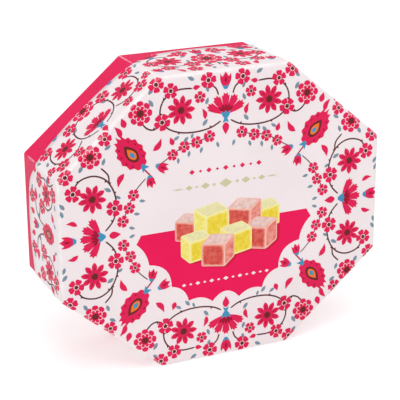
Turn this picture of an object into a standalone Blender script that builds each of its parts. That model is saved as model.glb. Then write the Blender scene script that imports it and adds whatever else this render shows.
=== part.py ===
# A shut octagonal gift carton of sweets: a printed board lid pushed down over a coloured tray.
# It stands on its lower edge panel with the printed face towards -Y. Metres, +Z up.
# The origin is on the ground, under the middle of the carton's width and depth.
import math

import bmesh
import bpy
from mathutils import Vector

# Driving dimensions
WIDTH = 0.200  # of the lid, left panel to right panel
HEIGHT = 0.1725  # of the lid, lower panel to upper panel
DEPTH = 0.0605  # printed face to back of the tray
CUT_WIDTH = 0.060  # what a slanted panel takes off the width at each corner
CUT_HEIGHT = 0.051  # and off the height
BOARD = 0.0006  # thickness of the lid's board
GAP = 0.0003  # clearance between lid and tray
FOLD_RADIUS = 0.0028  # fold between the lid's face and its edge panels
TRAY_FOLD_RADIUS = 0.0015
CORNER_RADIUS = 0.0045  # fold between two edge panels, on the lid's outside

# The strip of tray that shows behind the lid. The upper left panel of the lid is shallower.
STRIP = 0.0145
SHORT_STRIP = 0.0215
SHORT_END_STRIP = 0.0245  # at the two ends of the shallower panel
END_RUN = 0.014  # length over which the neighbouring rims come down to it
BOW = 0.0016  # how far the middle of a panel's free edge stands off

# Numbers of steps
PANEL_STEPS = 8
WALL_STEPS = 4
CORNER_STEPS = 4
FOLD_STEPS = 3
SMOOTH_ANGLE = math.radians(40)

COLLECTION = "turkish_delight_carton"
LOWER_PANEL = 4
UPPER_LEFT_PANEL = 7

# Colours, roughness and metallic value of the two boards
PRINTED_BOARD = ((0.830, 0.800, 0.795, 1.0), 0.42, 0.0)
TRAY_BOARD = ((0.740, 0.018, 0.105, 1.0), 0.45, 0.0)


def octagon():
    """The lid's eight corners in the plane of its face, clockwise from the upper panel's left end."""
    a, b = WIDTH / 2, HEIGHT / 2
    quarter = [(a - CUT_WIDTH, b), (a, b - CUT_HEIGHT)]
    right = quarter + [(x, -z) for x, z in reversed(quarter)]
    left = [(-x, -z) for x, z in right]
    return [Vector(p) for p in left[-1:] + right + left[:-1]]


def stations():
    """Points round the lid's outline: (place, outward normal, panel, share, nearest corner, distance from it).

    Panel i runs from corner i to corner i + 1. A point's share is its place along the panel, or None on a
    corner's fold. Points lie closer together towards a panel's ends.
    """
    corners = octagon()
    count = len(corners)
    sides = [(corners[(i + 1) % count] - corners[i]).normalized() for i in range(count)]
    normals = [Vector((-s.y, s.x)) for s in sides]
    turns = [normals[i - 1].angle(normals[i]) for i in range(count)]
    setbacks = [CORNER_RADIUS * math.tan(turn / 2) for turn in turns]
    result = []
    for i, (start, side, normal) in enumerate(zip(corners, sides, normals)):
        end, after = corners[(i + 1) % count], normals[(i + 1) % count]
        first = start + side * setbacks[i]
        last = end - side * setbacks[(i + 1) % count]
        for k in range(PANEL_STEPS + 1):
            share = (1 - math.cos(math.pi * k / PANEL_STEPS)) / 2
            reach = (last - first).length * min(share, 1 - share)
            nearest = i if share < 0.5 else (i + 1) % count
            result.append((first.lerp(last, share), normal, i, share, nearest, reach))
        centre = last - normal * CORNER_RADIUS
        for k in range(1, CORNER_STEPS):
            facing = normal.slerp(after, k / CORNER_STEPS)
            result.append((centre + facing * CORNER_RADIUS, facing, i, None, (i + 1) % count, 0.0))
    return result


def strip_width(panel, share, corner, reach):
    """How much of the tray shows behind the lid's rim at a point of the outline."""
    base = SHORT_STRIP if panel == UPPER_LEFT_PANEL and share is not None else STRIP
    if corner not in (UPPER_LEFT_PANEL, (UPPER_LEFT_PANEL + 1) % 8) or reach > END_RUN:
        return base
    return base + (SHORT_END_STRIP - base) * (1 - reach / END_RUN) ** 2


def bow_height(panel, share):
    """How far a point of the lid's rim stands off. The carton's weight keeps the lower panel flat."""
    if share is None or panel == LOWER_PANEL:
        return 0.0
    return BOW * math.sin(math.pi * share)


def fold(radius, steps):
    """Steps round a quarter fold, as (inset from the panel, depth behind the face)."""
    angles = [math.radians(90) * k / steps for k in range(steps + 1)]
    return [(radius * (1 - math.sin(a)), radius * (1 - math.cos(a))) for a in angles]


def extrude_ring(bm, ring, places):
    """Extrudes a closed ring of vertices once and moves the new ring to its places."""
    edges = [bm.edges.get(pair) for pair in zip(ring, ring[1:] + ring[:1])]
    made = set(bmesh.ops.extrude_edge_only(bm, edges=edges)["geom"])
    new_ring = [next(e.other_vert(v) for e in v.link_edges if e.other_vert(v) in made) for v in ring]
    for vertex, place in zip(new_ring, places):
        vertex.co = place
    return new_ring


def loft(rings, closed):
    """A surface from a flat first ring back through the others, closed by a last face or left open."""
    bm = bmesh.new()
    ring = [bm.verts.new(place) for place in rings[0]]
    bm.faces.new(ring)
    for places in rings[1:]:
        ring = extrude_ring(bm, ring, places)
    if closed:
        bm.faces.new(ring)
    bmesh.ops.recalc_face_normals(bm, faces=bm.faces)
    return bm


def ring_at(points, inset, depth):
    """One ring of the outline, a given distance inside it and behind the face."""
    return [(p.x - n.x * inset, depth, p.y - n.y * inset) for p, n, *_ in points]


def lid_rings():
    """The face, its fold, and the edge panels back to their own rims."""
    points = stations()
    rings = [ring_at(points, inset, depth) for inset, depth in fold(FOLD_RADIUS, FOLD_STEPS)]
    for k in range(1, WALL_STEPS + 1):
        part = k / WALL_STEPS
        ring = []
        for point, normal, panel, share, corner, reach in points:
            rim = DEPTH - strip_width(panel, share, corner, reach)
            place = point + normal * bow_height(panel, share) * part**2
            ring.append((place.x, FOLD_RADIUS + (rim - FOLD_RADIUS) * part, place.y))
        rings.append(ring)
    return rings


def tray_rings():
    """A solid block that fills the lid and stands out behind it, with both faces folded round."""
    points = stations()
    inside = BOARD + GAP
    depth = DEPTH - inside
    turn = fold(TRAY_FOLD_RADIUS, FOLD_STEPS)
    front = [ring_at(points, inside + inset, back) for inset, back in turn]
    rear = [ring_at(points, inside + inset, depth - back) for inset, back in reversed(turn)]
    return front + rear


def board(name, finish):
    """A plain board material."""
    colour, roughness, metallic = finish
    material = bpy.data.materials.new(name)
    material.use_nodes = True
    shader = material.node_tree.nodes["Principled BSDF"]
    shader.inputs["Base Color"].default_value = colour
    shader.inputs["Roughness"].default_value = roughness
    shader.inputs["Metallic"].default_value = metallic
    material.diffuse_color = colour
    return material


def add_piece(name, bm, location, parent, material):
    """A named, smooth-shaded object from a finished mesh."""
    mesh = bpy.data.meshes.new(name)
    bm.to_mesh(mesh)
    bm.free()
    mesh.shade_smooth()
    mesh.set_sharp_from_angle(angle=SMOOTH_ANGLE)
    mesh.materials.append(material)
    piece = bpy.data.objects.new(name, mesh)
    piece.location = location
    piece.parent = parent
    bpy.data.collections[COLLECTION].objects.link(piece)
    return piece


def add_lid(parent):
    """The printed lid: an open folded surface given the board's thickness inwards."""
    material = board("printed_board", PRINTED_BOARD)
    lid = add_piece("lid", loft(lid_rings(), closed=False), (0, -DEPTH / 2, HEIGHT / 2), parent, material)
    shell = lid.modifiers.new("board", "SOLIDIFY")
    shell.thickness = BOARD
    shell.offset = -1
    shell.use_even_offset = True
    return lid


def add_tray(parent):
    """The tray and what it holds, as one solid, since nothing can be seen inside the shut carton."""
    material = board("tray_board", TRAY_BOARD)
    location = (0, -DEPTH / 2 + BOARD + GAP, HEIGHT / 2)
    return add_piece("tray", loft(tray_rings(), closed=True), location, parent, material)


def main():
    for old in list(bpy.data.objects):
        bpy.data.objects.remove(old, do_unlink=True)
    collection = bpy.data.collections.new(COLLECTION)
    bpy.context.scene.collection.children.link(collection)
    carton = bpy.data.objects.new("carton", None)
    collection.objects.link(carton)
    add_lid(carton)
    add_tray(carton)


main()
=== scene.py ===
import cmath
import math

import bmesh
import bpy
from mathutils import Matrix, Vector


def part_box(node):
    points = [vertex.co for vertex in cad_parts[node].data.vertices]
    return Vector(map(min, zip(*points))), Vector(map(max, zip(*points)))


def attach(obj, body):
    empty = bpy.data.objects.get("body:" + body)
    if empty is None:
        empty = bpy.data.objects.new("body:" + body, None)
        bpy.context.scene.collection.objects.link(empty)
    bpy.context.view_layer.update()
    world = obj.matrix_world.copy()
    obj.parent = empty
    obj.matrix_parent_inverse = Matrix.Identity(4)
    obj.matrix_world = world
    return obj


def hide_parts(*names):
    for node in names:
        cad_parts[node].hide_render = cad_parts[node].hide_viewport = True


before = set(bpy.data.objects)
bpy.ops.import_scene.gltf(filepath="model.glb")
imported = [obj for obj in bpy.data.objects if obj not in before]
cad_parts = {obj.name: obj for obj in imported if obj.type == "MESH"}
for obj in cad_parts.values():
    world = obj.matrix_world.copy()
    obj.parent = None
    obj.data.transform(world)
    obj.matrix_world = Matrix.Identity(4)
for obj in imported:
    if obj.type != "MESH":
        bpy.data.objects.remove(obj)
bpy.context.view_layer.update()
scene = bpy.context.scene
scene.view_settings.view_transform = "Standard"
mm = 0.001
lidLow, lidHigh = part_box("lid")
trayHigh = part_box("tray")[1]

# The folded board. Millimetres, in a frame whose origin is the middle of the printed face:
# x to the right, y back into the carton, z up. Points of the flat print are complex numbers, x + z i.
carton = {
    "bow": 1.6,  # how far the middle of a panel's free edge stands off
    "cutWidth": 60.0,  # what a slanted panel takes off the width at each corner
    "cutHeight": 51.0,
    "foldRadius": 2.8,  # between the face and its panels
    "trayFoldRadius": 1.5,
    "cornerRadius": 4.5,  # between two panels
    "strip": 14.5,  # of tray behind the lid's rim
    "shortStrip": 21.5,  # behind the shallower upper left panel
    "shortEndStrip": 24.5,  # and at its two ends
    "endRun": 14.0,  # length over which the rims beside it come down
    "board": 0.6,
    "gap": 0.3,  # between lid and tray
    "skin": 0.17,  # how far the bare board lies inside the solid, as room for the print
    "lowerPanel": 4,
    "upperLeftPanel": 7,
}
carton["width"] = (lidHigh.x - lidLow.x) / mm - 2 * carton["bow"]
carton["height"] = (lidHigh.z - lidLow.z) / mm - carton["bow"]
carton["depth"] = (trayHigh.y - lidLow.y) / mm
faceMiddle = Vector((0, lidLow.y, lidLow.z + carton["height"] / 2 * mm))


def dot(a, b):
    return (a * b.conjugate()).real


def panelsWith(cornerRadius):
    # the eight panels, clockwise from the upper one;
    # a list holds one value for the panel's start and one for its end
    a, b = carton["width"] / 2, carton["height"] / 2
    quarter = [complex(a - carton["cutWidth"], b), complex(a, b - carton["cutHeight"])]
    rightHalf = quarter + [p.conjugate() for p in reversed(quarter)]
    leftHalf = [-p for p in rightHalf]
    corners = leftHalf[-1:] + rightHalf + leftHalf[:-1]
    runs = [corners[(i + 1) % 8] - corners[i] for i in range(8)]
    sides = [run / abs(run) for run in runs]
    turns = [abs(cmath.phase(sides[i] / sides[i - 1])) for i in range(8)]
    shallow = carton["upperLeftPanel"]
    panels = []
    for i in range(8):
        ends = [i, (i + 1) % 8]
        panels.append({
            "index": i,
            "middle": (corners[i] + corners[ends[1]]) / 2,
            "side": sides[i],
            "normal": sides[i] * 1j,
            "straight": [abs(runs[i]) / 2 - cornerRadius * math.tan(turns[k] / 2) for k in ends],
            "arcs": [cornerRadius * turns[k] / 2 for k in ends],
            "radius": cornerRadius,
            "short": [k in (shallow, (shallow + 1) % 8) for k in ends],
            "bows": i != carton["lowerPanel"],
        })
    return panels


lidPanels = panelsWith(carton["cornerRadius"])


def outlineAt(panel, along):
    # the outline's point at a distance along a panel from its middle, and the way it faces there
    end = along > 0
    over = abs(along) - panel["straight"][end]
    if over <= 0:
        return panel["middle"] + panel["side"] * along, panel["normal"]
    sign = 1 if end else -1
    facing = panel["normal"] * cmath.exp(-1j * sign * over / panel["radius"])
    last = panel["middle"] + panel["side"] * sign * panel["straight"][end]
    return last + (facing - panel["normal"]) * panel["radius"], facing


def stripAt(panel, along):
    # how much of the tray shows behind the rim there
    end = along > 0
    reach = max(0.0, panel["straight"][end] - abs(along))
    base = carton["shortStrip"] if panel["index"] == carton["upperLeftPanel"] else carton["strip"]
    if not panel["short"][end] or reach > carton["endRun"]:
        return base
    return base + (carton["shortEndStrip"] - base) * (1 - reach / carton["endRun"]) ** 2


def rimAt(panel, along):
    # the rim's distance from the start of the fold, measured over the board
    return carton["depth"] - stripAt(panel, along) + carton["foldRadius"] * (math.pi / 2 - 1)


def overFold(panel, along, down, lift):
    # a point of the board: along a panel, down from where its fold starts, and lifted off the solid's surface
    radius = carton["foldRadius"]
    bend = min(max(down, 0.0) / radius, math.pi / 2)
    inset = radius * (1 - math.sin(bend)) - min(down, 0.0)
    depth = radius * (1 - math.cos(bend)) + max(0.0, down - radius * math.pi / 2)
    place, facing = outlineAt(panel, along)
    share = (along + panel["straight"][0]) / sum(panel["straight"])
    if panel["bows"] and 0 < share < 1 and depth > radius:
        part = (depth - radius) / (carton["depth"] - stripAt(panel, along) - radius)
        place += facing * carton["bow"] * math.sin(math.pi * share) * part**2
    place += facing * (lift * math.sin(bend) - inset)
    return Vector((place.real, depth - lift * math.cos(bend), place.imag))


shell = {
    "panelSteps": 16,  # along each panel, closer together towards its ends
    "cornerSteps": 4,  # round half a corner
    "foldSteps": 8,
    "wallSteps": 8,
    "trayCornerRadius": 2.4,
    "cornerSpread": 0.35,  # how far a corner's crease runs on past its fold, in halves of the fold
    "backCrease": 0.82,  # how far the folds round the tray's back count as creased
    "flatMargin": 0.6,  # flat ring next to a fold, which keeps the fold's shading off the face
    "smoothAngle": 40.0,
}


def stationsOf(panels):
    # places round the whole outline, as (panel, distance along it)
    steps, cornerSteps = shell["panelSteps"], shell["cornerSteps"]
    result = []
    for panel in panels:
        (first, last), (arcFirst, arcLast) = panel["straight"], panel["arcs"]
        result += [(panel, -first - arcFirst * k / cornerSteps) for k in range(cornerSteps - 1, 0, -1)]
        for k in range(steps + 1):
            share = (1 - math.cos(math.pi * k / steps)) / 2
            result.append((panel, -first + (first + last) * share))
        result += [(panel, last + arcLast * k / cornerSteps) for k in range(1, cornerSteps + 1)]
    return result


def cornerness(panel, along):
    # 1 on the fold between two panels, 0 on a flat panel
    end = along > 0
    past = (abs(along) - panel["straight"][end]) / panel["arcs"][end]
    return min(1.0, max(0.0, past + shell["cornerSpread"]))


def creaseAt(panel, along, down):
    # 1 on the ridge of any of the lid's folds, 0 on a flat panel
    bend = min(max(down, 0.0) / carton["foldRadius"], math.pi / 2)
    return max(math.sin(2 * bend), math.sin(bend) * cornerness(panel, along))


def nextRing(bm, ring, places):
    # extrudes a closed ring of vertices once and moves the new ring to its places
    edges = [bm.edges.get(pair) for pair in zip(ring, ring[1:] + ring[:1])]
    made = set(bmesh.ops.extrude_edge_only(bm, edges=edges)["geom"])
    newRing = [next(e.other_vert(v) for e in v.link_edges if e.other_vert(v) in made) for v in ring]
    for vertex, place in zip(newRing, places):
        vertex.co = place
    return newRing


def loft(rows, closed):
    # rows of (places, crease values); the first is capped, and the last too on a closed block
    bm = bmesh.new()
    crease = bm.verts.layers.float.new("crease")
    ring = bmesh.ops.create_circle(bm, cap_ends=True, segments=len(rows[0][0]), radius=1)["verts"]
    for vertex, place, value in zip(ring, *rows[0]):
        vertex.co = place
        vertex[crease] = value
    for places, values in rows[1:]:
        ring = nextRing(bm, ring, places)
        for vertex, value in zip(ring, values):
            vertex[crease] = value
    if closed:
        bm.faces.new(ring)
    bmesh.ops.recalc_face_normals(bm, faces=bm.faces)
    return bm


def addPiece(name, bm, materials):
    # a finished piece, moved from the carton's millimetres to its place in metres
    bmesh.ops.transform(bm, matrix=Matrix.Translation(faceMiddle) @ Matrix.Scale(mm, 4), verts=bm.verts)
    mesh = bpy.data.meshes.new(name)
    bm.to_mesh(mesh)
    bm.free()
    mesh.shade_smooth()
    mesh.set_sharp_from_angle(angle=math.radians(shell["smoothAngle"]))
    for material in materials:
        mesh.materials.append(material)
    piece = bpy.data.objects.new(name, mesh)
    scene.collection.objects.link(piece)
    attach(piece, "root")
    return piece


# Materials

def ink(red, green, blue):
    # a colour given as screen values from 0 to 255
    values = [v / 255 for v in (red, green, blue)]
    return tuple(v / 12.92 if v <= 0.04045 else ((v + 0.055) / 1.055) ** 2.4 for v in values) + (1.0,)


class Wire:
    # one output in a node tree; arithmetic on it adds Math nodes
    def __init__(self, tree, socket=None):
        self.tree, self.socket = tree, socket

    def node(self, kind, settings, inputs, output=0):
        made = self.tree.nodes.new("ShaderNode" + kind)
        for name, value in settings.items():
            setattr(made, name, value)
        for name, value in inputs.items():
            if isinstance(value, Wire):
                self.tree.links.new(value.socket, made.inputs[name])
            else:
                made.inputs[name].default_value = value
        return Wire(self.tree, made.outputs[output])

    def math(self, operation, first, second):
        return self.node("Math", {"operation": operation}, {0: first, 1: second})

    def __add__(self, other):
        return self.math("ADD", self, other)

    def __sub__(self, other):
        return self.math("SUBTRACT", self, other)

    def __rsub__(self, other):
        return self.math("SUBTRACT", other, self)

    def __mul__(self, other):
        return self.math("MULTIPLY", self, other)

    __radd__ = __add__
    __rmul__ = __mul__

    def between(self, low, high):
        # 0 at low to 1 at high, smoothly
        return self.node("MapRange", {"interpolation_type": "SMOOTHSTEP"},
                         {"Value": self, "From Min": low, "From Max": high})

    def blend(self, first, second):
        # a colour between two, by this value
        return self.node("Mix", {"data_type": "RGBA"}, {0: self, 6: first, 7: second}, output=2)


# Scales are per metre and depths in metres
finishes = {
    "cloudScale": 22.0,  # slow change of tone over the board
    "cloudDetail": 3.0,
    "cloudRange": (0.35, 0.65),
    "fibreScale": 900.0,  # the board's fine grain
    "fibreDetail": 4.0,
    "fibreRange": (0.3, 0.7),
    "fibreDepth": 0.000012,
    "fibreRoughness": 0.08,
    "waveScale": 16.0,  # slight unevenness of the glued board
    "waveDetail": 1.0,
    "waveDepth": 0.00012,
    # patches of wear and painted highlight along the folds
    "wearAndHighlightScale": 140.0,
    "wearAndHighlightDetail": 5.0,
    "wearAndHighlightRange": (0.38, 0.62),
    "wearAndHighlightRoughness": 0.1,
    "creaseRange": (0.55, 1.0),  # how creased board is where the wear and painted highlight start, and where they are greatest
    "noiseRoughness": 0.55,
    "inkRoughness": 0.40,
    "inkShine": 0.1,
    "inkWearAndHighlight": 0.25,
}


def boardMaterial(name, colour, shade, rough, shine, wearAndHighlight=None, wearAndHighlightAmount=0.0, grain=0.5,
                  grainScale=finishes["fibreScale"]):
    # coated board or ink: a base colour that clouds towards a shade, fibres, and, where it is creased, wear
    # with a painted highlight
    material = bpy.data.materials.new(name)
    material.use_nodes = True
    tree = material.node_tree
    start = Wire(tree)
    place = start.node("TexCoord", {}, {}, output="Object")
    shader = tree.nodes["Principled BSDF"]

    def noise(scale, detail):
        return start.node("TexNoise", {}, {"Vector": place, "Scale": scale, "Detail": detail,
                                           "Roughness": finishes["noiseRoughness"]})

    clouds = noise(finishes["cloudScale"], finishes["cloudDetail"])
    fibres = noise(grainScale, finishes["fibreDetail"])
    clouded = clouds.between(*finishes["cloudRange"]) * (1 - grain)
    grained = fibres.between(*finishes["fibreRange"]) * grain
    tone = (clouded + grained).blend(colour, shade)
    roughness = rough + (fibres - 0.5) * finishes["fibreRoughness"]
    if wearAndHighlight:
        # creased board turns lighter in patches: partly wear, partly a painted highlight along the folds
        crease = start.node("Attribute", {"attribute_name": "crease"}, {}, output="Fac")
        patches = noise(finishes["wearAndHighlightScale"], finishes["wearAndHighlightDetail"]).between(*finishes["wearAndHighlightRange"])
        wornAndLit = crease.between(*finishes["creaseRange"]) * patches * wearAndHighlightAmount
        tone = wornAndLit.blend(tone, wearAndHighlight)
        roughness = roughness + wornAndLit * finishes["wearAndHighlightRoughness"]
    tree.links.new(tone.socket, shader.inputs["Base Color"])
    tree.links.new(roughness.socket, shader.inputs["Roughness"])
    shader.inputs["Specular IOR Level"].default_value = shine
    wave = noise(finishes["waveScale"], finishes["waveDetail"])
    bumped = start.node("Bump", {}, {"Height": wave, "Distance": finishes["waveDepth"], "Strength": 1.0})
    bumped = start.node("Bump", {}, {"Height": fibres, "Distance": finishes["fibreDepth"], "Strength": 1.0,
                                     "Normal": bumped})
    tree.links.new(bumped.socket, shader.inputs["Normal"])
    return material


wornAndLitBoard = ink(240, 238, 238)  # lighter colour on the folds: where print or coating is rubbed off, and a painted highlight
whiteBoard = boardMaterial("whiteBoard", ink(235, 224, 226), ink(231, 219, 221), rough=0.40, shine=0.28,
                           wearAndHighlight=wornAndLitBoard, wearAndHighlightAmount=0.7, grain=0.3)
cutEdge = boardMaterial("cutEdge", ink(238, 226, 224), ink(222, 204, 202), rough=0.7, shine=0.2)
# the tray's folds and corners turn pale pink: partly wear, partly a painted highlight
magentaBoard = boardMaterial("magentaBoard", ink(225, 16, 84), ink(213, 10, 76), rough=0.5, shine=0.13,
                             wearAndHighlight=ink(240, 160, 178), wearAndHighlightAmount=0.9, grain=0.3)

# The lid: a folded sheet with the board's thickness
print("lid")
lidStations = stationsOf(lidPanels)
foldLength = carton["foldRadius"] * math.pi / 2
lidDrops = [-shell["flatMargin"]]  # how far down over the fold each ring lies
lidDrops += [foldLength * k / shell["foldSteps"] for k in range(shell["foldSteps"] + 1)]
foldEnd = lidDrops[-1]


def lidRow(drops):
    places, values = [], []
    for (panel, along), down in zip(lidStations, drops):
        places.append(overFold(panel, along, down, -carton["skin"]))
        values.append(creaseAt(panel, along, down))
    return places, values


lidRows = [lidRow([down] * len(lidStations)) for down in lidDrops]
for step in range(1, shell["wallSteps"] + 1):
    wallShare = step / shell["wallSteps"]
    lidRows.append(lidRow([foldEnd + (rimAt(*station) - foldEnd) * wallShare for station in lidStations]))
lid = addPiece("lidBoard", loft(lidRows, closed=False), [whiteBoard, cutEdge])
thickness = lid.modifiers.new("thickness", "SOLIDIFY")
thickness.thickness = carton["board"] * mm
thickness.offset = -1
thickness.use_even_offset = True
thickness.material_offset_rim = 1
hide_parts("lid")

# The tray: a block that fills the lid, with a fold all round in front and at the back
print("tray")
trayStations = stationsOf(panelsWith(shell["trayCornerRadius"] + carton["board"] + carton["gap"]))
trayInset = carton["board"] + carton["gap"] + carton["skin"]


def trayRow(inset, depth, backFold):
    places, values = [], []
    for panel, along in trayStations:
        place, facing = outlineAt(panel, along)
        place -= facing * (trayInset + inset)
        places.append((place.real, depth, place.imag))
        values.append(max(backFold, cornerness(panel, along)))
    return places, values


trayRadius = carton["trayFoldRadius"]
trayFold = []  # steps round a fold, as (inset, depth, how creased)
for step in range(shell["foldSteps"] + 1):
    bend = math.pi / 2 * step / shell["foldSteps"]
    inset, depth = trayRadius * (1 - math.sin(bend)), trayRadius * (1 - math.cos(bend))
    trayFold.append((inset, depth, math.sin(2 * bend)))
trayRows = [trayRow(inset, trayInset + depth, 0.0) for inset, depth, _ in trayFold]
for inset, depth, ridge in reversed(trayFold):
    trayRows.append(trayRow(inset, carton["depth"] - depth, shell["backCrease"] * ridge))
capPlaces = trayRow(trayRadius + shell["flatMargin"], carton["depth"], 0.0)[0]
trayRows.append((capPlaces, [0.0] * len(capPlaces)))
tray = addPiece("trayBoard", loft(trayRows, closed=True), [magentaBoard])
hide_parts("tray")

# Print: flat shapes for each ink, which are then cut along the folds and laid over the board
print("print")
printing = {
    "levelStep": 0.0016,  # between shapes of one ink that may overlap
    "depth": 0.03,  # how far down into the board an ink reaches
    "rimMargin": 0.05,  # bare board between the print and a rim
    "rimCuts": 4,  # straight pieces along the end of a rim that comes down
    "wallCuts": 4,  # bands across a panel
    "columnCuts": 8,  # and along it
    "cutReach": 0.0001,  # how near a cut a corner counts as on it
    "weldReach": 0.002,
    "net": (320.0, 292.0),  # width and height of the unfolded lid
}
inkLifts = {  # height of each ink's top above the bare board, in mm
    "field": 0.03, "shadow": 0.045, "vine": 0.03, "stem": 0.05, "mist": 0.03, "rose": 0.07, "straw": 0.06,
    "paper": 0.102, "wine": 0.102, "roseTop": 0.122, "bark": 0.136, "amber": 0.148, "sky": 0.152,
    "pinkEdge": 0.06, "pinkTop": 0.06, "pinkFront": 0.06, "pinkSide": 0.06,
    "lemonEdge": 0.06, "lemonTop": 0.06, "lemonFront": 0.06, "lemonSide": 0.06,
}
garland = {
    "vineWidth": 0.9,
    "fineWidth": 0.6,
    "taper": 0.4,  # a vine's width at its ends, as a share
    "thornReach": 1.5,
    "thornFoot": 0.9,
    "thornLean": 0.5,  # how far a thorn's tip lies ahead of the middle of its foot
    "boldness": 1.04,  # all motifs' sizes are multiplied by it
}
stamped = {name: [] for name in inkLifts}
flats = {name: bmesh.new() for name in inkLifts}


def polar(distance, degrees):
    return cmath.rect(distance, math.radians(degrees))


def petal(middle, half, profile):
    # a petal's outline about a direction;
    # profile: (radius, share of half its angle) from the valley beside it to its tip
    rising = [polar(distance, middle - share * half) for distance, share in profile]
    falling = [polar(distance, middle + share * half) for distance, share in profile[-1:0:-1] if share]
    return rising + falling


def rosette(petals, profile, turn=90):
    points = []
    for k in range(petals):
        points += petal(turn + 360 * k / petals, 180 / petals, profile)
    return points


def fan(petals, spread, profile, base):
    # petals over part of a turn, closed at a base point
    points, half = [base], spread / petals
    for k in range(petals):
        points += petal(90 - spread + half * (2 * k + 1), half, profile)
    return points + [polar(profile[0][0], 90 + spread)]


def between(a, b, c, d, t):
    # a smooth curve through b and c
    return 0.5 * (2 * b + (c - a) * t + (2 * a - 5 * b + 4 * c - d) * t**2 + (3 * b - a - 3 * c + d) * t**3)


def rounded(points, steps=3):
    # a closed smooth outline; a point given twice stays sharp
    result, count = [], len(points)
    for i in range(count):
        around = [points[(i + k) % count] for k in (-1, 0, 1, 2)]
        if around[1] != around[2]:
            result += [between(*around, k / steps) for k in range(steps)]
    return result


def bothSides(half):
    # a closed outline from its right half, whose first point is on the axis
    lone = sum(p == half[0] for p in half)
    return half + [complex(-p.real, p.imag) for p in reversed(half[lone:])]


def ribbon(points, width, steps=5):
    # the outline of a band along a smooth path
    path, count = [], len(points)
    for i in range(count - 1):
        around = [points[min(max(i + k, 0), count - 1)] for k in (-1, 0, 1, 2)]
        path += [between(*around, k / steps) for k in range(steps)]
    path.append(points[-1])
    leftEdge, rightEdge = [], []
    for i, p in enumerate(path):
        ahead = path[min(i + 1, len(path) - 1)] - path[max(i - 1, 0)]
        across = 1j * ahead / abs(ahead) * width / 2
        if i in (0, len(path) - 1):
            across *= garland["taper"]
        leftEdge.append(p + across)
        rightEdge.append(p - across)
    return leftEdge + rightEdge[::-1]


def stamp(name, outline, spot=0j, turn=0, size=1, mirror="xy", lift=None):
    # one flat shape, repeated across the axes that mirror names;
    # of two shapes in one ink that may overlap, the later lies a hair higher
    moved = [spot + polar(size, turn) * p for p in outline]
    for flipX in ((1, -1) if "x" in mirror else (1,)):
        for flipY in ((1, -1) if "y" in mirror else (1,)):
            points = [complex(flipX * p.real, flipY * p.imag) for p in moved]
            middle = sum(points) / len(points)
            reach = max(abs(p - middle) for p in points)
            taken = {level for place, extent, level in stamped[name] if abs(place - middle) < extent + reach}
            level = next(k for k in range(len(taken) + 1) if k not in taken)
            stamped[name].append((middle, reach, level))
            made = bmesh.ops.create_circle(flats[name], cap_ends=True, segments=len(points), radius=1)
            for vertex, p in zip(made["verts"], points):
                vertex.co = (p.real, p.imag, lift or inkLifts[name] + level * printing["levelStep"])


# Profiles of petals
roundPetal = [(0.36, 1), (0.52, 0.90), (0.74, 0.86), (0.90, 0.72), (0.99, 0.42), (0.95, 0.12)]
pointPetal = [(0.46, 1), (0.60, 0.90), (0.74, 0.74), (0.88, 0.40), (1.0, 0)]
toothPetal = [(0.50, 1), (0.72, 0.90), (0.90, 0.80), (0.86, 0.52), (1.0, 0.34), (0.93, 0.0)]
outerPetal = [(0.66, 1), (0.72, 0.92), (0.86, 0.86), (0.97, 0.5), (0.99, 0.15)]
innerPetal = [(0.34, 1), (0.40, 0.86), (0.54, 0.74), (0.60, 0.2)]

# Motifs: each has size 1 and grows towards +y; where says (spot, turn, size, mirror)


def blossom(*where):  # round petals and a pale eye
    stamp("rose", rosette(5, roundPetal), *where)
    stamp("paper", rosette(8, [(0.32, 1), (0.32, 0.3)]), *where)
    stamp("bark", rosette(5, [(0.21, 1), (0.27, 0.3)]), *where)


def daisy(*where):  # a pointed star with a mark on each petal
    petals = 9
    stamp("rose", rosette(petals, pointPetal), *where)
    for k in range(petals):
        spin = polar(1, 360 * k / petals)
        stamp("wine", [(0.56j + p) * spin for p in (-0.05 - 0.1j, 0.05 - 0.1j, 0.2j)], *where)
    stamp("bark", rosette(petals, [(0.19, 1), (0.27, 0.2)]), *where)


def doubleRose(*where):  # two rings of petals with a pale line between them
    stamp("rose", rosette(8, outerPetal), *where)
    stamp("paper", rosette(8, [(0.50, 1), (0.62, 0.6), (0.66, 0.2)], 112), *where)
    stamp("roseTop", rosette(8, innerPetal, 112), *where)
    stamp("bark", rosette(8, [(0.24, 1), (0.30, 0.3)]), *where)


def carnation(*where):  # a fan of toothed petals in a cup
    stamp("rose", fan(5, 74, toothPetal, 0.02j), *where)
    stamp("wine", fan(5, 50, [(0.34, 1), (0.44, 0.7), (0.50, 0)], 0.14j), *where)
    stamp("sky", bothSides([0.22j, 0.08 + 0.10j, 0.24 + 0.20j, 0.17, 0.05 - 0.16j]), *where)


def tulip(*where):  # three pointed petals over a cup
    half = [1j, 1j, 0.13 + 0.78j, 0.22 + 0.66j, 0.22 + 0.66j, 0.36 + 0.86j, 0.36 + 0.86j, 0.38 + 0.55j]
    stamp("rose", rounded(bothSides(half + [0.30 + 0.25j, 0.12 + 0.06j])), *where)
    stamp("wine", rounded([0.72j, 0.72j, 0.08 + 0.45j, 0.28j, 0.28j, -0.08 + 0.45j]), *where)
    stamp("sky", bothSides([0.06j, 0.26 + 0.16j, 0.10 - 0.12j]), *where)


def bud(*where):
    stamp("rose", rounded(bothSides([1j, 1j, 0.26 + 0.55j, 0.30 + 0.25j, 0.1])), *where)


def cup(*where):
    stamp("sky", bothSides([0.12j, 0.5 + 0.35j, 0.16 - 0.5j]), *where)


def leaf(*where):
    blade = [1j, 1j, 0.24 + 0.55j, 0.16 + 0.15j, 0, 0, -0.16 + 0.15j, -0.24 + 0.55j]
    stamp("mist", rounded(blade, 2), *where)


def curl(*where):  # a curved leaf in the flowers' colour
    blade = [0.42 + 1j, 0.42 + 1j, 0.30 + 0.62j, 0.22 + 0.28j, 0, 0, -0.16 + 0.34j, -0.06 + 0.70j]
    stamp("rose", rounded(blade), *where)


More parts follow.
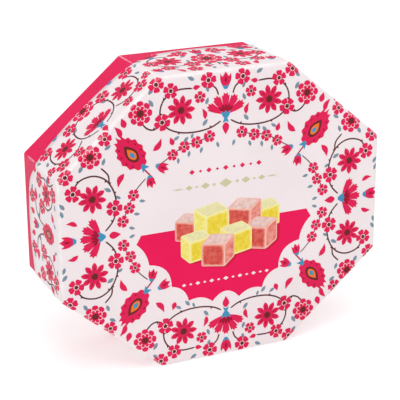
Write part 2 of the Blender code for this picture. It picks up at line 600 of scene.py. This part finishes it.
def pomegranate(*where):  # a lobed fruit with a crown, seeds and a window
    half = [1.62j, 1.62j, 0.12 + 1.30j, 0.30 + 1.42j, 0.30 + 1.42j, 0.34 + 1.12j, 0.52 + 1.06j, 0.56 + 0.80j]
    half += [0.74 + 0.66j, 0.70 + 0.36j, 0.80 + 0.10j, 0.66 - 0.14j, 0.66 - 0.42j, 0.44 - 0.56j, 0.34 - 0.82j]
    stamp("rose", rounded(bothSides(half + [0.12 - 0.88j])), *where)
    for seed in (0.36 + 0.88j, 0.54 + 0.46j, 0.57 - 0.02j, 0.42 - 0.40j):
        for spot in (seed, complex(-seed.real, seed.imag)):
            stamp("wine", [spot + p for p in (0.055, 0.10j, -0.055, -0.10j)], *where)
    window = bothSides([0.86j, 0.86j, 0.24 + 0.50j, 0.34 + 0.12j, 0.24 - 0.22j, 0.08 - 0.38j])
    stamp("bark", rounded(window), *where)
    stamp("amber", rounded([p * 0.66 + 0.04j for p in window]), *where)
    stamp("sky", [0.34j, 0.15 + 0.10j, -0.14j, -0.15 + 0.10j], *where)


def vine(place, points, thorns=(), width=garland["vineWidth"], mirror="xy", name="vine"):
    # a stem through points, with thorns as (index of a point, side)
    spot, tilt = place
    way = [spot + polar(1, tilt) * complex(*p) for p in points]
    stamp(name, ribbon(way, width), mirror=mirror)
    for index, hand in thorns:
        foot, after = way[index], way[min(index + 1, len(way) - 1)]
        along = (after - foot) / abs(after - foot)
        halfFoot = along * garland["thornFoot"]
        tip = foot + along * garland["thornLean"] + hand * 1j * along * garland["thornReach"]
        stamp(name, [foot - halfFoot, foot + halfFoot, tip], mirror=mirror)


def put(place, mirror, *motifs):
    # motifs as (motif, along, out, size, turn) from a place's spot, in the place's own tilt
    spot, tilt = place
    for motif, along, out, size, turn in motifs:
        motif(spot + polar(1, tilt) * complex(along, out), turn + tilt, size * garland["boldness"], mirror)


# Where the print is laid out from, as (spot, tilt): the face's middle and three panels,
# which the other five mirror
face = (0j, 0)
top, slant, side = [(p["middle"], math.degrees(cmath.phase(p["side"]))) for p in lidPanels[:3]]

# The face: garlands round a bare oval, with a larger flower on each axis and a fruit in each corner
vine(face, [(3, 57), (9, 54), (18, 52.6), (28, 53.5), (36, 57.5), (39.5, 65), (37, 73), (29, 77.5),
            (20, 77.5)], [(1, 1), (3, -1), (5, 1), (6, -1)])
vine(face, [(4.4, 72), (6, 76), (10, 79)])
vine(face, [(73, 3), (68.5, 8), (66.2, 15), (67, 24), (71.5, 32), (79, 35.6), (87.5, 33.5), (92, 26)],
     [(1, -1), (3, 1), (4, -1), (6, 1)])
vine(face, [(38, 60), (43, 57), (47, 58), (50, 61)], [(1, 1)])
vine(face, [(70, 30), (70.5, 35), (74.5, 39.5)], [(0, 1)])
vine(face, [(10, 49), (16, 47.2), (23, 46), (30, 43), (37, 38.5), (42, 36)],
     width=garland["fineWidth"], mirror="x")
vine(face, [(63, 6), (60.5, 12), (57.5, 18.5), (54, 24.5), (48.5, 30)], width=garland["fineWidth"])
vine(face, [(50, 36), (46, 31.5), (43.5, 28.5)], name="stem")
put(face, "y",
    (carnation, 0, 60, 12.5, 0), (tulip, 0, 76, 8.6, 0), (bud, 0, 55.6, 6.5, 180), (cup, 0, 57, 3.6, 180))
put(face, "x",
    (carnation, 75, 0, 12.5, -90), (tulip, 91, 0, 8.6, -90), (bud, 70.6, 0, 6.5, 90))
put(face, "xy",
    (pomegranate, 55.5, 43.5, 9.4, -40.4), (cup, 49.2, 36.2, 4.6, 140),
    (daisy, 27, 66, 8.2, 10), (daisy, 80, 22.5, 8.0, -20),
    (doubleRose, 51, 67, 6.8, 0), (doubleRose, 80.5, 46.5, 6.6, 0),
    (blossom, 10.5, 81, 4.7, 12), (blossom, 38.3, 60.5, 4.8, 30), (blossom, 33, 77.5, 4.4, 0),
    (blossom, 67.4, 15.5, 4.8, 20), (blossom, 91, 27, 4.7, 10), (blossom, 41.5, 82, 4.6, 30),
    (blossom, 95, 37, 4.6, 30), (blossom, 62.6, 7, 3.5, 20), (blossom, 58.6, 14.2, 3.4, 0),
    (blossom, 56, 21.4, 3.4, 40),
    (tulip, 41.6, 36.3, 7.2, 115), (tulip, 46.5, 30.5, 6.6, 165), (bud, 19.5, 77.5, 4.2, 80),
    (curl, 44, 45, 7.5, 60), (curl, 61, 34.5, 7.5, -130), (curl, 62.5, 54.5, 7, -5),
    (leaf, 14, 55.6, 4.4, 40), (leaf, 23, 50.4, 4.2, -140), (leaf, 43.5, 70, 4.6, -30),
    (leaf, 69, 25.5, 4.4, -60), (leaf, 21, 49.2, 3.2, 20),
    (bud, 32, 47, 4.6, -20), (leaf, 31.5, 49.5, 3.8, 60), (curl, 12.6, 59, 6, 8),
    (leaf, 12, 67.5, 4.0, 20), (blossom, 15.6, 72, 3.4, 0), (leaf, 10.5, 74.5, 3.6, -20),
    (blossom, 71.8, 55.4, 4.1, 10), (leaf, 72, 49.5, 4.2, 60), (leaf, 73.5, 41, 4, 20),
    (curl, 89, 8.5, 6, -50), (leaf, 97, 14.5, 4, -20), (bud, 60, 60.5, 5.5, -20),
    (leaf, 63.5, 20.6, 3.6, -60), (leaf, 59, 3.0, 3.6, 110), (leaf, 96, 19, 4.4, -40),
    (leaf, 87, 38.5, 4.4, 30), (leaf, 19, 82, 4.4, -60), (leaf, 46, 77, 4.4, 40))

# More blossoms and leaves above the bare oval, and a few beside it. The field takes these places below it
put(face, "x",
    (blossom, 10, 49, 3.5, 0), (blossom, 17.8, 46.6, 3.5, 20), (blossom, 25.4, 45, 3.4, 40),
    (blossom, 32.4, 41.2, 3.3, 10),
    (leaf, 14.4, 43.4, 3.6, 200), (leaf, 22.2, 42.2, 3.6, 190), (leaf, 29, 39, 3.4, 180),
    (leaf, 5.5, 45.2, 3.6, 160), (leaf, 56, 10.5, 3.6, 100), (leaf, 52.6, 17.6, 3.6, 100))

# The upper panel, and by mirroring the lower one
vine(top, [(8, 20), (13, 17), (20, 16), (27, 18), (33, 24), (33, 32), (27, 37), (19, 36)], [(1, 1), (4, -1)])
vine(top, [(2, 10), (2.5, 14), (2, 17)])
put(top, "y", (doubleRose, 0, 24, 9.2, 0), (tulip, 0, 34.5, 8.6, 0))
put(top, "xy",
    (daisy, 22.5, 27, 8.2, 10), (blossom, 12, 16.5, 4.8, 0), (blossom, 33, 26, 4.8, 20),
    (blossom, 10.5, 38.5, 4.7, 20), (carnation, 28, 37.5, 8.4, -20), (bud, 18.5, 37, 5.6, 80),
    (tulip, 33.5, 9, 7.5, -20), (curl, 22, 3, 7, 0),
    (leaf, 6, 12, 4.2, 60), (leaf, 22, 12, 4.2, -30), (leaf, 4, 3.5, 4.2, 10), (leaf, 36, 34, 4, -30),
    (blossom, 14.5, 7, 4.6, 10), (leaf, 12, 21.5, 4.2, 10), (leaf, 13, 32, 4.2, 70),
    (blossom, 27.5, 14, 4.2, 0), (bud, 4.5, 8, 5.5, -20))

# The four slanted panels, each with two like halves
slantVines = [
    [(3, 6), (9, 9), (13, 15), (13, 24), (9, 29.5), (5, 32)],
    [(13, 12), (19, 8), (27, 9), (32, 15), (32, 24), (28, 30)],
]
slantMotifs = [
    (daisy, 22.5, 19.5, 7.8, 10), (blossom, 13, 31, 4.8, 10), (blossom, 31.5, 32, 4.8, 0),
    (blossom, 30, 7.5, 4.7, 0), (tulip, 22, 36.5, 7.5, 10), (leaf, 12.5, 24, 4.2, 40),
    (leaf, 36, 20, 4.2, 20), (blossom, 19, 5, 3.6, 0), (blossom, 14, 42, 4.2, 0),
    (curl, 32, 38, 6.5, 0), (blossom, 37.2, 12.5, 3.6, 0), (leaf, 37.5, 29, 4.2, -20),
]
put(slant, "xy",
    (carnation, 0, 9, 11.5, 0), (doubleRose, 0, 35, 7.4, 0), (bud, 0, 5, 6, 180), (cup, 0, 6.5, 3.6, 180))
for hand in (1, -1):
    for way in slantVines:
        vine(slant, [(hand * x, y) for x, y in way], [(1, hand), (3, -hand)])
    for motif, along, out, size, turn in slantMotifs:
        put(slant, "xy", (motif, hand * along, out, size, hand * turn))

# The two side panels
vine(side, [(5, 29), (11, 28), (15, 23.5), (14, 16), (18, 9), (25, 7)], [(1, 1), (3, -1)])
vine(side, [(3, 23), (4, 28), (8, 33), (15, 35)])
vine(side, [(29, 28), (31, 20), (29, 12), (32, 5)], [(1, -1)])
put(side, "x", (pomegranate, 0, 14.0, 7.2, 0), (tulip, 0, 31.5, 7.4, 0))
put(side, "xy",
    (daisy, 22.5, 17, 6.9, 10), (blossom, 13.5, 24.5, 4.5, 10), (blossom, 25.5, 6.0, 4.5, 0),
    (blossom, 28, 28.5, 4.5, 20), (bud, 15, 33.5, 6.6, -80), (bud, 6, 37, 5.4, -16),
    (leaf, 8, 28.5, 3.8, 40), (leaf, 12, 6.5, 3.8, 20), (bud, 31.5, 34, 5.5, -10),
    (leaf, 7, 3.5, 3.8, -30), (leaf, 20, 27, 3.8, 50), (bud, 9.5, 7.0, 5.4, -60),
    (leaf, 22, 39, 3.8, 60), (blossom, 15.5, 39.5, 4.0, 0), (tulip, 31, 15, 5.4, -150),
    (leaf, 17, 3.5, 3.8, -80))

# A field of colour under the middle of the face. The left half mirrors the right
field = {
    "shoulder": (52, -3),
    "scallops": [(55, -8), (47.5, -21.5), (34, -37), (23.5, -47.5), (8.5, -50.5)],  # their corners
    "sags": [1.5, 4.5, 2.5, 2.2],  # how far each scallop comes in
    "middleSag": 5.0,
    "steps": 8,
}


def scallop(first, last, sag):
    # an arc from one corner to just before the next, bent in to the field
    a, b = complex(*first), complex(*last)
    inward = 1j * (b - a) / abs(b - a) * -1
    shares = [k / field["steps"] for k in range(field["steps"])]
    return [a + (b - a) * share + inward * sag * 4 * share * (1 - share) for share in shares]


fieldHalf = [complex(*field["shoulder"])]
for corner, nextCorner, sag in zip(field["scallops"], field["scallops"][1:], field["sags"]):
    fieldHalf += scallop(corner, nextCorner, sag)
lowestX, lowestZ = field["scallops"][-1]
fieldHalf += scallop((lowestX, lowestZ), (-lowestX, lowestZ), field["middleSag"])[:field["steps"] // 2]
fieldTip = 1j * (lowestZ + field["middleSag"])
stamp("field", fieldHalf + [fieldTip] + [complex(-p.real, p.imag) for p in reversed(fieldHalf)], mirror="")

# Plain ornaments where a pack has its wording: an ink, a height, and a row of lozenges
# as (distance from the middle, half width, half height)
ornaments = [
    ("rose", 29.5, [(0, 1.7, 1.5), (5.2, 1.0, 0.9), (10.4, 1.7, 1.5), (15.6, 1.0, 0.9), (20.8, 1.7, 1.5)]),
    ("straw", 20.5, [(0, 4.0, 2.6), (7.2, 1.2, 1.0), (12.6, 2.8, 1.9), (18.0, 1.0, 0.8), (22.6, 2.2, 1.5),
                     (29.2, 3.6, 0.45)]),
    ("paper", -37.5, [(0, 1.7, 1.2), (4.6, 1.0, 0.7), (9.0, 1.5, 1.1), (13.4, 1.0, 0.7), (17.8, 1.5, 1.1),
                      (22.2, 1.0, 0.7), (26.4, 1.3, 1.0)]),
]
for inkName, height, lozenges in ornaments:
    for away, halfWidth, halfHeight in lozenges:
        lozenge = (halfWidth, 1j * halfHeight, -halfWidth, -1j * halfHeight)
        stamp(inkName, lozenge, complex(away, height), mirror="x" if away else "")

# The pictured sweets: a pile of cubes seen from a little above, each with pale dusted edges
pile = {
    "size": 15.5,
    "tall": 0.92,  # height over width
    "look": 22.0,  # degrees from above
    "cubes": [  # from back to front: x and z of the foot of the front corner, turn, size, flavour
        (-22.6, -12.0, 19, 0.86, "pink"), (25.4, -11.1, -22, 0.88, "lemon"), (11.7, -11.5, 20, 1.04, "pink"),
        (-9.0, -12.0, -18, 1.04, "lemon"), (-18.6, -24.7, -23, 0.94, "lemon"), (22.3, -23.8, 17, 1.0, "pink"),
        (6.4, -24.3, -20, 0.98, "lemon"), (-5.0, -30.0, 22, 1.02, "pink"),
    ],
    "cubeLift": 0.009,  # between one cube and the next in front of it
    "layerLift": 0.003,  # between the layers of one cube
    "topShare": 0.88,  # of a cube's top that lies inside the pale edges
    "narrowShare": 0.86,
    "wideShare": 0.92,
    "heartShare": 0.80,  # of its wide side that is deeper in colour
    "soft": 0.10,  # how far back from a corner its rounding starts, as a share of each edge
    "tip": 0.35,  # how far the rounding cuts in, as a share of that
    "dust": 330.0,  # grain of the sugar, per metre
    "shadow": (1.6, -0.9),
    "shadowBelow": -20.0,  # only cubes whose foot lies lower have a shadow
}


def soften(corners, scale):
    # a polygon shrunk about its middle, with its corners cut round
    middle = sum(corners) / len(corners)
    points = []
    for before, here, after in zip(corners[-1:] + corners[:-1], corners, corners[1:] + corners[:1]):
        a, b = (before - here) * pile["soft"], (after - here) * pile["soft"]
        points += [here + a, here + (a + b) * pile["tip"], here + b]
    return rounded([middle + (p - middle) * scale for p in points], 2)


rise, drop = math.sin(math.radians(pile["look"])), math.cos(math.radians(pile["look"]))
for number, (x, z, turn, share, flavour) in enumerate(pile["cubes"]):
    square = [polar(pile["size"] * share * math.sqrt(0.5), turn - 90 + 90 * k) for k in range(4)]
    foot = [complex(p.real, (p.imag - square[0].imag) * rise) + complex(x, z) for p in square]
    roof = [p + 1j * pile["size"] * pile["tall"] * share * drop for p in foot]
    outline = [foot[3], foot[0], foot[1], roof[1], roof[2], roof[3]]
    leftSide, rightSide = [foot[3], foot[0], roof[0], roof[3]], [foot[0], foot[1], roof[1], roof[0]]
    wideSide, narrowSide = (leftSide, rightSide) if turn > 0 else (rightSide, leftSide)
    edgeLift = inkLifts["pinkTop"] + number * pile["cubeLift"]
    sugarLift = edgeLift + pile["layerLift"]
    heartLift = edgeLift + 2 * pile["layerLift"]
    if z < pile["shadowBelow"]:
        stamp("shadow", soften([p + complex(*pile["shadow"]) for p in outline], 1.0), mirror="")
    stamp(flavour + "Edge", soften(outline, 1.0), mirror="", lift=edgeLift)
    stamp(flavour + "Top", soften(roof, pile["topShare"]), mirror="", lift=sugarLift)
    stamp(flavour + "Side", soften(narrowSide, pile["narrowShare"]), mirror="", lift=sugarLift)
    stamp(flavour + "Side", soften(wideSide, pile["wideShare"]), mirror="", lift=sugarLift)
    stamp(flavour + "Front", soften(wideSide, pile["heartShare"]), mirror="", lift=heartLift)


def cut(bm, spot, facing, clear=False):
    # a straight cut of the flat print, which may also take away what lies beyond it
    bmesh.ops.bisect_plane(bm, geom=bm.verts[:] + bm.edges[:] + bm.faces[:], dist=printing["cutReach"],
                           plane_co=(spot.real, spot.imag, 0), plane_no=(facing.real, facing.imag, 0),
                           clear_outer=clear)


def faceOutline():
    # the lines round the face's flat part, as (spot, outward direction)
    inset = carton["foldRadius"] + shell["flatMargin"]
    for panel in lidPanels:
        yield panel["middle"] - panel["normal"] * inset, panel["normal"]
        corner, facing = outlineAt(panel, panel["straight"][1] + panel["arcs"][1])
        yield corner - facing * inset, facing


def stripOutline(panel):
    # the lines round one panel's print: the fold, the two corners and the rim
    fold = panel["middle"] - panel["normal"] * carton["foldRadius"]
    yield fold - panel["normal"] * shell["flatMargin"], -panel["normal"]
    places = []
    for end, sign in ((0, -1), (1, 1)):
        straight, limit = panel["straight"][end], panel["straight"][end] + panel["arcs"][end]
        yield panel["middle"] + panel["side"] * sign * limit, panel["side"] * sign
        steps = printing["rimCuts"] if panel["short"][end] else 1
        places += [sign * (straight - carton["endRun"] * k / steps) for k in range(steps + 1)]
    rim = [(along, rimAt(panel, along) - printing["rimMargin"]) for along in sorted(places)]
    for (along, down), (nextAlong, nextDown) in zip(rim, rim[1:]):
        run = panel["side"] * (nextAlong - along) + panel["normal"] * (nextDown - down)
        yield fold + panel["side"] * along + panel["normal"] * down, 1j * run / abs(run)


def stripFolds(panel):
    # the lines that divide it, so that it bends as the lid does
    fold = panel["middle"] - panel["normal"] * carton["foldRadius"]
    for down in lidDrops[1:]:
        yield fold + panel["normal"] * down, panel["normal"]
    for k in range(1, printing["wallCuts"]):
        down = foldEnd + (rimAt(panel, 0) - foldEnd) * k / printing["wallCuts"]
        yield fold + panel["normal"] * down, panel["normal"]
    for end, sign in ((0, -1), (1, 1)):
        for k in range(shell["cornerSteps"]):
            along = panel["straight"][end] + panel["arcs"][end] * k / shell["cornerSteps"]
            yield panel["middle"] + panel["side"] * sign * along, panel["side"]
    for k in range(1, printing["columnCuts"]):
        along = -panel["straight"][0] + sum(panel["straight"]) * k / printing["columnCuts"]
        yield panel["middle"] + panel["side"] * along, panel["side"]


def overBoard(mark, lift):
    # the place of a point of the print, and how creased the board is there; mark says (x, z, panel or -1)
    spot = complex(mark.x, mark.y)
    if mark.z < 0:
        return Vector((spot.real, carton["skin"] - lift, spot.imag)), 0.0
    panel = lidPanels[round(mark.z)]
    along = dot(spot - panel["middle"], panel["side"])
    down = dot(spot - panel["middle"], panel["normal"]) + carton["foldRadius"]
    return overFold(panel, along, down, lift - carton["skin"]), creaseAt(panel, along, down)


def foldPrint(name, material):
    # one ink's shapes, cut, laid over the board and given thickness down into it
    flat = flats[name]
    flat.normal_update()
    bmesh.ops.triangulate(flat, faces=flat.faces[:])
    ready = bmesh.new()
    marks = ready.verts.layers.float_vector.new("mark")
    ready.verts.layers.float.new("crease")
    mesh = bpy.data.meshes.new(name)
    for index, panel in [(-1, None)] + list(enumerate(lidPanels)):
        part = flat.copy()
        for spot, facing in stripOutline(panel) if panel else faceOutline():
            cut(part, spot, facing, clear=True)
        for spot, facing in stripFolds(panel) if panel and part.faces else ():
            cut(part, spot, facing)
        partMarks = part.verts.layers.float_vector.new("mark")
        partCrease = part.verts.layers.float.new("crease")
        for vertex in part.verts:
            vertex[partMarks] = (vertex.co.x, vertex.co.y, index)
            vertex.co, vertex[partCrease] = overBoard(vertex[partMarks], vertex.co.z)
        part.to_mesh(mesh)
        part.free()
        ready.from_mesh(mesh)
    flat.free()
    bpy.data.meshes.remove(mesh)
    bmesh.ops.remove_doubles(ready, verts=ready.verts, dist=printing["weldReach"])
    made = bmesh.ops.extrude_face_region(ready, geom=ready.faces[:])["geom"]
    for vertex in made:
        if isinstance(vertex, bmesh.types.BMVert):
            vertex.co = overBoard(vertex[marks], -printing["depth"])[0]
    bmesh.ops.recalc_face_normals(ready, faces=ready.faces[:])
    bake = ready.loops.layers.uv.new("OFBake")
    netWidth, netHeight = printing["net"]
    for loop in (loop for f in ready.faces for loop in f.loops):
        spot = loop.vert[marks]
        loop[bake].uv = (spot.x / netWidth + 0.5, spot.y / netHeight + 0.5)
    ready.verts.layers.float_vector.remove(marks)
    addPiece(name + "Print", ready, [material])


inks = {  # screen colour, its shade and the share of fine grain
    "field": ((229, 18, 85), (223, 14, 79), 0.3),
    "shadow": ((196, 20, 58), (188, 16, 52), 0.3),
    "rose": ((221, 31, 85), (213, 25, 78), 0.3),
    "roseTop": ((221, 31, 85), (213, 25, 78), 0.3),
    "wine": ((158, 14, 48), (148, 10, 42), 0.3),
    "bark": ((106, 40, 36), (96, 34, 32), 0.3),
    "vine": ((98, 46, 50), (86, 40, 44), 0.3),
    "stem": ((180, 40, 78), (172, 34, 70), 0.3),
    "sky": ((64, 146, 186), (58, 138, 178), 0.3),
    "mist": ((122, 143, 160), (114, 135, 152), 0.3),
    "amber": ((238, 116, 40), (230, 106, 34), 0.3),
    "straw": ((204, 196, 158), (194, 186, 146), 0.3),
    "pinkEdge": ((238, 196, 180), (230, 158, 142), 0.6),
    "pinkTop": ((234, 206, 198), (212, 172, 166), 0.9),
    "pinkFront": ((196, 62, 54), (216, 104, 92), 0.9),
    "pinkSide": ((216, 104, 92), (232, 160, 148), 0.9),
    "lemonEdge": ((238, 230, 176), (236, 222, 130), 0.6),
    "lemonTop": ((232, 226, 176), (216, 208, 156), 0.9),
    "lemonFront": ((222, 192, 28), (232, 212, 84), 0.9),
    "lemonSide": ((228, 212, 84), (236, 226, 140), 0.9),
}
for inkName, flat in flats.items():
    levels = 1 + max(level for *_, level in stamped[inkName])
    print("print", inkName, len(flat.faces), "shapes, levels", levels)
    if inkName == "paper":
        foldPrint(inkName, whiteBoard)
        continue
    colour, shade, grain = inks[inkName]
    grainScale = pile["dust"] if inkName.startswith(("pink", "lemon")) else finishes["fibreScale"]
    # each ink turns lighter on the lid's folds: a painted highlight, partly wear
    foldPrint(inkName, boardMaterial(
        inkName + "Ink", ink(*colour), ink(*shade), finishes["inkRoughness"], finishes["inkShine"],
        wearAndHighlight=wornAndLitBoard, wearAndHighlightAmount=finishes["inkWearAndHighlight"], grain=grain, grainScale=grainScale))

# A plain floor, and soft studio light from all round with one softbox above
print("studio")
studio = {
    "floorSize": 24.0,
    "floorTone": 0.58,
    "floorRoughness": 0.9,
    "floorShine": 0.1,
    "floorGlow": 0.545,
    "roomLight": 0.392,
    "roomSlope": (-0.067, 0.015, 0.604),  # the room is brighter above and a little towards the left
    "boxDirection": (-0.15, -0.40, 0.90),  # of the softbox, from the carton
    "boxDistance": 2.0,
    "boxWidth": 1.3,
    "boxPower": 17.9,
}
grid = bmesh.new()
bmesh.ops.create_grid(grid, x_segments=1, y_segments=1, size=studio["floorSize"] / 2)
floorMesh = bpy.data.meshes.new("floor")
grid.to_mesh(floorMesh)
grid.free()
floor = bpy.data.objects.new("floor", floorMesh)
scene.collection.objects.link(floor)
floorPaper = bpy.data.materials.new("floorPaper")
floorPaper.use_nodes = True
floorShader = floorPaper.node_tree.nodes["Principled BSDF"]
floorShader.inputs["Base Color"].default_value = (studio["floorTone"],) * 3 + (1.0,)
floorShader.inputs["Roughness"].default_value = studio["floorRoughness"]
floorShader.inputs["Specular IOR Level"].default_value = studio["floorShine"]
floorShader.inputs["Emission Color"].default_value = (1, 1, 1, 1)
floorShader.inputs["Emission Strength"].default_value = studio["floorGlow"]
floorMesh.materials.append(floorPaper)

room = bpy.data.worlds.new("room")
scene.world = room
room.use_nodes = True
roomWire = Wire(room.node_tree)
outward = roomWire.node("TexCoord", {}, {}, output="Generated")
slope = roomWire.node("VectorMath", {"operation": "DOT_PRODUCT"}, {0: outward, 1: studio["roomSlope"]},
                      output="Value")
background = room.node_tree.nodes["Background"]
room.node_tree.links.new((studio["roomLight"] + slope).socket, background.inputs["Color"])

boxLight = bpy.data.lights.new("softbox", "AREA")
boxLight.size, boxLight.energy = studio["boxWidth"], studio["boxPower"]
softbox = bpy.data.objects.new("softbox", boxLight)
scene.collection.objects.link(softbox)
toBox = Vector(studio["boxDirection"]).normalized()
softbox.location = faceMiddle + toBox * studio["boxDistance"]
softbox.rotation_euler = toBox.to_track_quat("Z", "Y").to_euler()

# The camera, from a fit of the carton's corners in the photograph
view = {
    "azimuth": -24.43,  # degrees, from straight in front
    "elevation": 19.41,
    "roll": -0.40,
    "distance": 0.7837,
    "aim": (-0.0161, 0.0, 0.0126),  # from the middle of the printed face
    "lens": 125.9,
    "sensor": 36.0,
}
azimuth, elevation = math.radians(view["azimuth"]), math.radians(view["elevation"])
level = math.cos(elevation)
back = Vector((math.sin(azimuth) * level, -math.cos(azimuth) * level, math.sin(elevation)))
right = Vector((0, 0, 1)).cross(back).normalized()
upright = Matrix((right, back.cross(right), back)).transposed()
turned = upright @ Matrix.Rotation(math.radians(view["roll"]), 3, "Z")
camera = bpy.data.objects.new("camera", bpy.data.cameras.new("camera"))
scene.collection.objects.link(camera)
camera.data.lens, camera.data.sensor_width = view["lens"], view["sensor"]
cameraPlace = faceMiddle + Vector(view["aim"]) + back * view["distance"]
camera.matrix_world = Matrix.Translation(cameraPlace) @ turned.to_4x4()
scene.camera = camera
